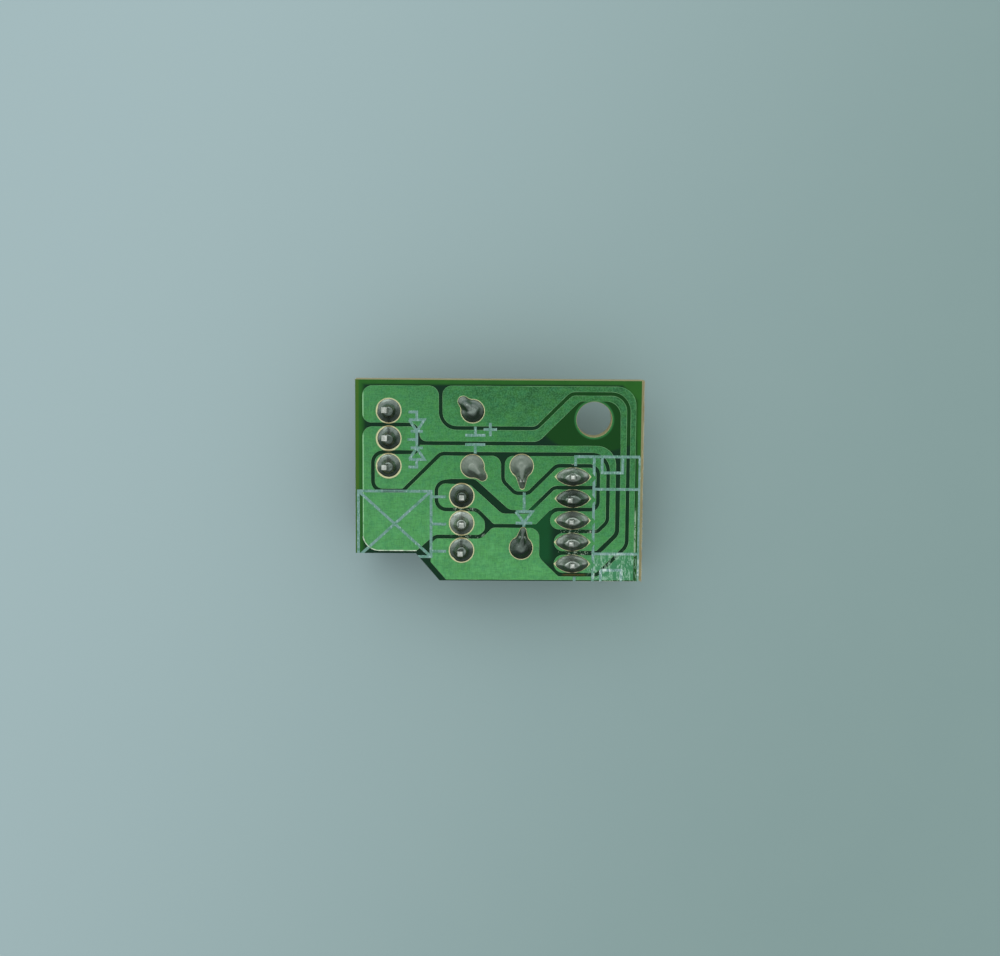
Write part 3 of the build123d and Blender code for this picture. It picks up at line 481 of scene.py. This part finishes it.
def sheet_laminate(tree):
    """Pressed sheet with its layers and torn fibres on the edges."""
    axes = axes_of(tree, millimetres(tree))
    layers = noise(tree, millimetres(tree, (0.5, 0.5, 14.0)), 1.5, 3.0, 0.6)
    fibres = noise(tree, millimetres(tree, (3.0, 3.0, 0.5)), 2.2, 4.0, 0.7)
    tone = blend(tree, ramp(tree, layers, 0.3, 0.7), ink(152, 142, 100), ink(170, 162, 120))
    tone = over(tree, tone, ramp(tree, fibres, 0.5, 0.75), 0.22, ink(118, 104, 66))
    tone = over(tree, tone, ramp(tree, axes["Z"], 0.05, 0.0), 0.6, ink(188, 160, 96))
    return {"Base Color": tone, "Normal": bumped(tree, maths(tree, "ADD", layers, fibres), 0.014 * mm)}


def tinned_wire(tree):
    """Drawn, tinned wire: bright on its cut end, with painted shade on its lower flank."""
    facing = axes_of(tree, add(tree, "ShaderNodeTexCoord").outputs["Normal"])
    drawn = noise(tree, millimetres(tree, (2.0, 2.0, 0.4)), 6.0, 3.0, 0.6)
    mottle = ramp(tree, noise(tree, millimetres(tree), 2.5), 0.35, 0.65)
    tone = blend(tree, mottle, ink(196, 200, 194), ink(156, 162, 155))
    # painted shade on the flank that faces -Y
    tone = blend(tree, ramp(tree, facing["Y"], -0.2, -0.7), tone, ink(122, 120, 113))
    return {
        "Base Color": tone,
        "Roughness": ramp(tree, drawn, 0.3, 0.7, 0.3, 0.45),
        "Normal": bumped(tree, drawn, 0.012 * mm),
    }


def rolled_metal(light, dark):
    """Rolled or drawn metal with fine lines along it."""
    def build(tree):
        lines = noise(tree, millimetres(tree, (0.3, 3.0, 3.0)), 5.0, 3.0, 0.6)
        return {
            "Base Color": blend(tree, ramp(tree, lines, 0.35, 0.65), light, dark),
            "Roughness": ramp(tree, lines, 0.3, 0.7, 0.24, 0.4),
            "Normal": bumped(tree, lines, 0.006 * mm),
        }
    return build


# ---------------------------------------------------------------- finishes of the parts below
def moulded(colour, faded, relief, patches=0.8):
    """Moulded plastic with a fine spark-eroded surface and slow fading."""
    def build(tree):
        place = millimetres(tree)
        spark = noise(tree, place, 14.0, 3.0, 0.6)
        cloud = noise(tree, place, patches, 3.0, 0.5)
        return {
            "Base Color": blend(tree, ramp(tree, cloud, 0.3, 0.7), colour, faded),
            "Roughness": ramp(tree, spark, 0.3, 0.7, 0.34, 0.5),
            "Normal": bumped(tree, spark, relief * mm),
        }
    return build


def marked_sleeve(tree):
    """Shrunk sleeve with a pale stripe of dashes along the side of the minus lead."""
    place = millimetres(tree)
    axes = axes_of(tree, place)
    low, high = (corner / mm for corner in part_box("capacitor_sleeve"))
    centre = (low + high) / 2
    up = apart(tree, axes["Z"], centre.z)
    minus_side = ramp(tree, axes["Y"], centre.y, centre.y - 0.2)
    stripe = times(tree, ramp(tree, up, 0.95, 0.85), minus_side)
    step = maths(tree, "FRACT", maths(tree, "DIVIDE", maths(tree, "SUBTRACT", axes["X"], low.x), 1.7))
    inside = times(tree, ramp(tree, step, 0.22, 0.26), ramp(tree, step, 0.78, 0.74))
    dash = times(tree, inside, ramp(tree, up, 0.24, 0.18))
    film = noise(tree, place, 1.4, 3.0, 0.6)
    tone = blend(tree, ramp(tree, film, 0.35, 0.65), ink(22, 24, 30), ink(30, 32, 40))
    tone = blend(tree, stripe, tone, ink(176, 182, 188))
    tone = blend(tree, times(tree, dash, stripe), tone, ink(26, 28, 34))
    return {
        "Base Color": tone,
        "Roughness": ramp(tree, film, 0.3, 0.7, 0.24, 0.36),
        "Normal": bumped(tree, film, 0.02 * mm),
    }


finishes = {
    "masked_copper": finish("masked_copper", masked_copper, Specular_IOR_Level=0.2),
    "solder_mask": finish("solder_mask", bare_mask, Specular_IOR_Level=0.12),
    "legend_ink": finish("legend_ink", printed_legend, Roughness=0.6, Specular_IOR_Level=0.2),
    "laminate": finish("laminate", sheet_laminate, Roughness=0.75),
    "solder_light": finish(
        "solder_light", solder(ink(158, 168, 160), ink(104, 114, 106), ink(64, 73, 67), 0.26, 0.42),
        Metallic=0.8,
    ),
    "solder_dull": finish(
        "solder_dull", solder(ink(132, 142, 132), ink(108, 120, 110), ink(66, 74, 66), 0.45, 0.6),
        Metallic=0.6,
    ),
    "solder_dark": finish(
        "solder_dark", solder(ink(122, 134, 127), ink(72, 84, 77), ink(42, 51, 45), 0.2, 0.36),
        Metallic=0.8,
    ),
    "solder_black": finish(
        "solder_black", solder(ink(92, 104, 97), ink(58, 68, 62), ink(38, 45, 40), 0.22, 0.38),
        Metallic=0.8,
    ),
    "tinned_steel": finish("tinned_steel", tinned_wire, Metallic=0.9),
    "tinned_brass": finish("tinned_brass", tinned_wire, Metallic=0.9),
    "milky_epoxy": finish(
        "milky_epoxy", moulded(ink(226, 228, 224), ink(214, 218, 214), 0.001),
        Subsurface_Weight=0.35, Subsurface_Scale=0.4 * mm, Coat_Weight=0.4,
    ),
    "can_aluminium": finish(
        "can_aluminium", rolled_metal(ink(206, 208, 210), ink(176, 178, 182)), Metallic=1.0
    ),
    "printed_sleeve": finish("printed_sleeve", marked_sleeve, Coat_Weight=0.4),
    "bung_rubber": finish("bung_rubber", moulded(ink(40, 39, 38), ink(28, 28, 28), 0.004)),
    "dark_epoxy": finish("dark_epoxy", moulded(ink(30, 24, 32), ink(22, 18, 26), 0.001), Coat_Weight=0.4),
    "clear_glass": finish(
        "clear_glass", moulded(ink(214, 120, 66), ink(206, 108, 56), 0.0005),
        Transmission_Weight=0.85, IOR=1.5,
    ),
    "band_paint": finish("band_paint", moulded(ink(20, 20, 22), ink(14, 14, 16), 0.002)),
    "copper_stud": finish("copper_stud", rolled_metal(ink(196, 110, 74), ink(170, 92, 62)), Metallic=1.0),
    "metallised_die": finish(
        "metallised_die", rolled_metal(ink(120, 122, 130), ink(100, 104, 112)), Metallic=0.6
    ),
    "cream_nylon": finish("cream_nylon", moulded(ink(230, 224, 204), ink(222, 214, 192), 0.003)),
    "coat_rim": finish(
        "coat_rim", moulded(ink(124, 176, 124), ink(76, 136, 84), 0.002), Specular_IOR_Level=0.2
    ),
    "flaked_coat": finish(
        "flaked_coat", moulded(ink(216, 226, 210), ink(104, 156, 112), 0.01, 2.6), Specular_IOR_Level=0.2
    ),
    "torn_fibre": finish("torn_fibre", moulded(ink(206, 194, 152), ink(160, 138, 92), 0.004)),
    "flux_crumbs": finish("flux_crumbs", moulded(ink(190, 206, 186), ink(120, 150, 120), 0.004)),
    "brown_flux": finish("brown_flux", moulded(ink(96, 64, 28), ink(60, 42, 20), 0.004), Coat_Weight=0.5),
}

joints_of_kind = {
    "solder_light": (
        "receiver_joint_2", "header_joint_1", "header_joint_3", "header_joint_4", "header_joint_5",
    ),
    "solder_dull": ("capacitor_joint_minus", "diode_joint_top"),
    "solder_black": ("receiver_joint_1", "diode_joint_bottom"),
}
solder_kinds = {name: "solder_dark" for name in joint_names}
solder_kinds.update((name, kind) for kind, names in joints_of_kind.items() for name in names)

for name, part in nodes.items():
    part.data.materials.clear()
    part.data.materials.append(finishes[solder_kinds.get(name, slot_of[name])])


# ---------------------------------------------------------------- making pieces
def place_piece(name, mesh, material, smooth=True, stands_for=()):
    """Adds a finished mesh to the scene, riding on the board."""
    mesh.materials.clear()
    mesh.materials.append(material)
    for face in mesh.polygons:
        face.use_smooth = smooth
        face.material_index = 0
    made = bpy.data.objects.new(name, mesh)
    scene.collection.objects.link(made)
    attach(made, "root")
    if stands_for:
        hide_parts(*stands_for)
    return made


def merged(name):
    """A CAD node's mesh as one closed bmesh, in millimetres."""
    shape = bmesh.new()
    shape.from_mesh(nodes[name].data)
    bmesh.ops.scale(shape, vec=(1 / mm,) * 3, verts=shape.verts)
    bmesh.ops.remove_doubles(shape, verts=shape.verts, dist=0.0005)
    return shape


def worked(shape, name, dress):
    """Runs modifiers on a bmesh: dress adds them to the object, and the result comes back as a mesh."""
    mesh = bpy.data.meshes.new(name)
    shape.to_mesh(mesh)
    shape.free()
    blank = bpy.data.objects.new(name + "_blank", mesh)
    scene.collection.objects.link(blank)
    dress(blank)
    result = bpy.data.meshes.new_from_object(blank.evaluated_get(bpy.context.evaluated_depsgraph_get()))
    bpy.data.objects.remove(blank)
    bpy.data.meshes.remove(mesh)
    result.name = name
    return result


def to_metres(mesh):
    mesh.transform(Matrix.Scale(mm, 4))
    return mesh


# ---------------------------------------------------------------- solder joints
joint_voxel = 0.06
foot_spread = 0.11  # makes up for what remeshing takes off the thin foot
foot_height = 0.3  # below it a joint keeps its outline; above it the dents are full


def frozen_joint(name, seed, unevenness):
    """A joint's solid as a soft frozen drop: remeshed, smoothed and dented, cut level on the copper."""
    shape = merged(name)
    base = min(v.co.z for v in shape.verts)
    for v in shape.verts:
        if v.co.z < base + 0.01:
            v.co.z = base - 0.2

    def dress(blank):
        remesh = blank.modifiers.new("remesh", "REMESH")
        remesh.mode = "VOXEL"
        remesh.voxel_size = joint_voxel
        soften = blank.modifiers.new("soften", "SMOOTH")
        soften.iterations = 5
        soften.factor = 0.5

    mesh = worked(shape, name + "_drop", dress)
    shape = bmesh.new()
    shape.from_mesh(mesh)
    bpy.data.meshes.remove(mesh)
    shape.normal_update()
    shift = Vector((seed * 3.7, seed * 1.9, 0))
    for v in shape.verts:
        rise = min(1.0, max(0.0, (v.co.z - base) / foot_height))
        outward = Vector((v.normal.x, v.normal.y, 0.0))
        v.co += outward * foot_spread * (1.0 - 0.6 * rise)
        dent = field.noise(v.co * 1.7 + shift) + 0.2 * field.noise(v.co * 4.0 + shift)
        v.co += v.normal * dent * unevenness * rise
    cut = bmesh.ops.bisect_plane(
        shape, geom=shape.verts[:] + shape.edges[:] + shape.faces[:], dist=1e-4,
        plane_co=(0, 0, base), plane_no=(0, 0, 1), clear_inner=True,
    )
    rim = [part for part in cut["geom_cut"] if isinstance(part, bmesh.types.BMEdge)]
    bmesh.ops.holes_fill(shape, edges=rim)
    bmesh.ops.recalc_face_normals(shape, faces=shape.faces)
    result = bpy.data.meshes.new(name + "_drop")
    shape.to_mesh(result)
    shape.free()
    return to_metres(result)


unevenness = {"solder_light": 0.05, "solder_dark": 0.045, "solder_dull": 0.035, "solder_black": 0.035}
for seed, name in enumerate(joint_names):
    kind = solder_kinds[name]
    place_piece(
        name.replace("joint", "solder_drop"), frozen_joint(name, seed, unevenness[kind]),
        finishes[kind], stands_for=[name],
    )


# ---------------------------------------------------------------- pieces with rounded edges
def eased(name, width, segments=2):
    """A CAD node with its flat faces joined up and its sharp edges rounded."""
    shape = merged(name)
    bmesh.ops.dissolve_limit(
        shape, angle_limit=radians(1.0), verts=shape.verts, edges=shape.edges, use_dissolve_boundaries=False
    )

    def dress(blank):
        bevel = blank.modifiers.new("bevel", "BEVEL")
        bevel.width = width
        bevel.segments = segments
        bevel.limit_method = "ANGLE"
        bevel.angle_limit = radians(35)

    mesh = to_metres(worked(shape, name + "_eased", dress))
    made = place_piece(name + "_eased", mesh, finishes[slot_of[name]], False, [name])
    return made


for kind, width in (("header_pin_", 0.06), ("receiver_lead_", 0.13), ("led_lead_", 0.08)):
    for name in sorted(nodes):
        if name.startswith(kind):
            eased(name, width, 3)
eased("header_housing", 0.12)


# ---------------------------------------------------------------- pieces grown with geometry nodes
def grower(name, inputs, build):
    """A geometry node group that ends in Realize Instances and Set Material."""
    def whole(tree, given):
        grown = build(tree, given)
        real = add(tree, "GeometryNodeRealizeInstances", {"Geometry": grown}).outputs["Geometry"]
        painted = add(tree, "GeometryNodeSetMaterial", {"Geometry": real, "Material": given["Material"]})
        return {"Geometry": painted.outputs["Geometry"]}
    rows = [("Geometry", SHAPE, None), *inputs, ("Material", FINISH, None)]
    return new_tree(name, "GeometryNodeTree", rows, [("Geometry", SHAPE)], whole)


def grow(name, shape, tree, slot, material, **values):
    """Runs a geometry node group on a bmesh, and adds the result as a plain piece."""
    def dress(blank):
        modifier = blank.modifiers.new("grow", "NODES")
        modifier.node_group = tree
        values["Material"] = material
        for item in tree.interface.items_tree:
            label = item.name.replace(" ", "_")
            if item.in_out == "INPUT" and label in values:
                modifier[item.identifier] = values[label]
    return place_piece(name, to_metres(worked(shape, name, dress)), material)


def build_bead(tree, given):
    """A thin bead along every edge of the given wire."""
    curve = add(tree, "GeometryNodeMeshToCurve", {"Mesh": given["Geometry"]}).outputs["Curve"]
    ring = {"Resolution": 6, "Radius": given["Radius"]}
    profile = add(tree, "GeometryNodeCurvePrimitiveCircle", ring).outputs["Curve"]
    swept = {"Curve": curve, "Profile Curve": profile, "Fill Caps": True}
    return add(tree, "GeometryNodeCurveToMesh", swept).outputs["Mesh"]


bead = grower("edge_bead", [("Radius", VALUE, 0.03)], build_bead)


def top_rim(names, level, inside=lambda point: True):
    """The edges between a flat top at this height and the walls below it, as a wire."""
    wire = bmesh.new()
    for name in names:
        shape = merged(name)
        for edge in shape.edges:
            if len(edge.link_faces) != 2 or any(abs(v.co.z - level) > 0.002 for v in edge.verts):
                continue
            centre = (edge.verts[0].co + edge.verts[1].co) / 2
            if min(abs(face.normal.z) for face in edge.link_faces) < 0.5 and inside(centre):
                wire.edges.new([wire.verts.new(v.co) for v in edge.verts])
        shape.free()
    bmesh.ops.remove_doubles(wire, verts=wire.verts, dist=0.001)
    return wire


grow(
    "copper_edge_rim", top_rim(foil_names, coat_top / mm), bead, "masked_copper",
    finishes["coat_rim"], Radius=0.016,
)


def by_receiver_box(point):
    """Round the lower left corner of the copper, under the printed box, where the coat has flaked."""
    corner = middle("receiver_joint_2", -4.6, -1.2) / mm
    return point.x < corner.x and point.y < corner.y


grow(
    "flaked_rim", top_rim(["foil_ground"], coat_top / mm, by_receiver_box), bead, "masked_copper",
    finishes["flaked_coat"], Radius=0.05,
)


def build_crumbs(tree, given):
    """Small squashed lumps scattered over the given faces."""
    points = add(
        tree, "GeometryNodeDistributePointsOnFaces",
        {"Mesh": given["Geometry"], "Density": given["Density"], "Seed": given["Seed"]},
    ).outputs["Points"]
    ball = {"Radius": given["Size"], "Subdivisions": 1}
    lump = add(tree, "GeometryNodeMeshIcoSphere", ball).outputs["Mesh"]
    sizes = add(
        tree, "FunctionNodeRandomValue", {0: (0.4, 0.4, 0.15), 1: (1.4, 0.9, 0.5), "Seed": given["Seed"]},
        data_type="FLOAT_VECTOR",
    ).outputs["Value"]
    turns = add(
        tree, "FunctionNodeRandomValue", {0: (0.0, 0.0, 0.0), 1: (0.0, 0.0, 6.3), "Seed": given["Seed"]},
        data_type="FLOAT_VECTOR",
    ).outputs["Value"]
    turned = add(tree, "FunctionNodeEulerToRotation", {"Euler": turns}).outputs["Rotation"]
    return add(
        tree, "GeometryNodeInstanceOnPoints",
        {"Points": points, "Instance": lump, "Rotation": turned, "Scale": sizes},
    ).outputs["Instances"]


crumbs = grower(
    "loose_crumbs", [("Density", VALUE, 20.0), ("Size", VALUE, 0.04), ("Seed", COUNT, 1)], build_crumbs
)


def strewn(spots):
    """Flat patches on the coat, each a centre in metres and a half width and height in millimetres."""
    shape = bmesh.new()
    for centre, half_width, half_height in spots:
        x, y = centre.x / mm, centre.y / mm
        corners = [(-1, -1), (1, -1), (1, 1), (-1, 1)]
        shape.faces.new([
            shape.verts.new((x + sx * half_width, y + sy * half_height, coat_top / mm)) for sx, sy in corners
        ])
    return shape


grow(
    "flux_specks",
    strewn([
        (gap_between("header_joint_4", "header_joint_5"), 1.6, 0.14),
        (gap_between("header_joint_3", "header_joint_4"), 1.3, 0.14),
        (gap_between("receiver_joint_1", "receiver_joint_2"), 0.8, 0.12),
        (gap_between("receiver_joint_2", "receiver_joint_3"), 0.8, 0.12),
        (middle("header_joint_1", 0.2, 1.0), 0.35, 0.2),
        (middle("header_joint_1", -2.9, -0.2), 0.16, 0.12),
        (middle("header_joint_5", -0.7, -0.95), 0.2, 0.12),
    ]),
    crumbs, "solder_mask", finishes["flux_crumbs"], Density=11.0, Size=0.05, Seed=4,
)
grow(
    "scuffed_specks", strewn([(scuffed_corner * mm, 1.9, 1.1)]), crumbs, "solder_mask",
    finishes["flux_crumbs"], Density=0.8, Size=0.05, Seed=9,
)
grow(
    "brown_specks",
    strewn([
        (under_last_joint, 1.0, 0.05),
        (middle("led_joint_3", -1.0, -0.9), 0.15, 0.1),
        (Vector((middle("diode_joint_bottom").x - 1.1 * mm, board_low.y + 0.25 * mm, 0)), 0.08, 0.08),
    ]),
    crumbs, "solder_mask", finishes["brown_flux"], Density=26.0, Size=0.045, Seed=2,
)


def build_fringe(tree, given):
    """Short torn fibres that lie every way along the given wire."""
    curve = add(tree, "GeometryNodeMeshToCurve", {"Mesh": given["Geometry"]}).outputs["Curve"]
    points = add(
        tree, "GeometryNodeCurveToPoints", {"Curve": curve, "Count": given["Count"]}, mode="COUNT"
    ).outputs["Points"]
    fibre = add(
        tree, "GeometryNodeMeshCone",
        {"Vertices": 5, "Radius Top": 0.2, "Radius Bottom": 1.0, "Depth": 6.0},
    ).outputs["Mesh"]
    thin = add(
        tree, "GeometryNodeTransform", {"Geometry": fibre, "Scale": given["Fibre"]}
    ).outputs["Geometry"]
    turns = add(
        tree, "FunctionNodeRandomValue", {0: (0.0, -2.6, -1.0), 1: (3.0, 2.6, 1.0), "Seed": given["Seed"]},
        data_type="FLOAT_VECTOR",
    ).outputs["Value"]
    turned = add(tree, "FunctionNodeEulerToRotation", {"Euler": turns}).outputs["Rotation"]
    return add(
        tree, "GeometryNodeInstanceOnPoints", {"Points": points, "Instance": thin, "Rotation": turned}
    ).outputs["Instances"]


fringe = grower(
    "torn_fringe",
    [("Count", COUNT, 100), ("Fibre", VECTOR, (0.02, 0.02, 0.03)), ("Seed", COUNT, 1)], build_fringe,
)
top_right = (board_high.x, board_high.y)
inset = Vector((0.03, 0.03, 0)) * mm  # from the board's edges in to the fibres' roots

for name, start, depths, count, size, seed in (
    ("right_edge", (board_high.x, board_low.y), (0.05, 0.3, 0.8, 1.3), 300, 0.018, 5),
    ("top_edge", (board_low.x, board_high.y), (0.03, 0.25, 0.8, 1.3), 260, 0.013, 7),
):
    rows = bmesh.new()
    for depth in depths:
        rows.edges.new([
            rows.verts.new((Vector((*end, solder_face - depth * mm)) - inset) / mm)
            for end in (start, top_right)
        ])
    grow(
        name + "_fibres", rows, fringe, "laminate", finishes["torn_fibre"],
        Count=count, Fibre=(size, size, size * 1.1), Seed=seed,
    )

# ---------------------------------------------------------------- floor, light and camera
floor_mesh = bpy.data.meshes.new("floor")
shape = bmesh.new()
just_below = Matrix.Translation((0, 0, floor_z - 0.02 * mm))  # clear of the feet that stand on it
bmesh.ops.create_grid(shape, x_segments=1, y_segments=1, size=2.0, matrix=just_below)
shape.to_mesh(floor_mesh)
shape.free()
floor = bpy.data.objects.new("floor", floor_mesh)
scene.collection.objects.link(floor)


def paper(tree):
    """Pale paper, with painted shade making it a little darker towards the right."""
    place = millimetres(tree)
    axes = axes_of(tree, place)
    across = maths(tree, "SUBTRACT", axes["X"], times(tree, axes["Y"], 0.35))
    # painted shade: the paper darkens towards the right, away from the light
    tone = blend(tree, ramp(tree, across, -62.0, 50.0), ink(158, 178, 182), ink(128, 151, 150))
    return {"Base Color": over(tree, tone, noise(tree, place, 0.08, 4.0), 0.10, ink(160, 178, 170))}


def clear_from_below(material):
    """Lets a view from under the floor through, so that the parts can be seen from there."""
    tree = material.node_tree
    mix = add(tree, "ShaderNodeMixShader", {
        0: add(tree, "ShaderNodeNewGeometry").outputs["Backfacing"],
        1: tree.nodes["Principled BSDF"].outputs[0],
        2: add(tree, "ShaderNodeBsdfTransparent").outputs[0],
    })
    tree.links.new(mix.outputs[0], tree.nodes["Material Output"].inputs["Surface"])
    return material


floor_mesh.materials.append(
    clear_from_below(finish("floor_paper", paper, Roughness=0.9, Specular_IOR_Level=0.1))
)

scene.view_settings.view_transform = "Standard"
world = bpy.data.worlds.new("studio")
world.use_nodes = True
scene.world = world
sky = world.node_tree
way = axes_of(sky, add(sky, "ShaderNodeTexCoord").outputs["Generated"])
height = maths(sky, "ADD", times(sky, way["Z"], 0.85), times(sky, way["Y"], 0.25))
light_side = ramp(sky, height, -0.25, 0.95)
sky_light = blend(sky, light_side, (0.63, 0.66, 0.655, 1.0), (0.97, 1.0, 0.99, 1.0))
straight = add(sky, "ShaderNodeLightPath").outputs["Is Camera Ray"]
sky.links.new(blend(sky, straight, sky_light, ink(140, 162, 163)), sky.nodes["Background"].inputs["Color"])


def softbox(name, place, size, power):
    """A square soft light aimed at the middle of the board."""
    lamp = bpy.data.lights.new(name, "AREA")
    lamp.size = size
    lamp.energy = power
    made = bpy.data.objects.new(name, lamp)
    scene.collection.objects.link(made)
    made.location = place
    made.rotation_euler = (aim - Vector(place)).to_track_quat("-Z", "Y").to_euler()
    return made


aim = Vector((board_low.x + 13.05 * mm, board_low.y + 9.44 * mm, solder_face))  # near the board's middle
camera_distance = 162.7 * mm
softbox("window_light", (-0.16, 0.34, 0.42), 0.40, 0.85)

camera_data = bpy.data.cameras.new("camera")
camera_data.sensor_width = 36.0
camera_data.lens = 64.8
camera_data.clip_start = 0.01
camera = bpy.data.objects.new("camera", camera_data)
scene.collection.objects.link(camera)
camera.rotation_euler = (radians(-8.04), radians(-0.5), radians(0.4))
camera.location = aim + camera.rotation_euler.to_matrix() @ Vector((0, 0, camera_distance))
scene.camera = camera
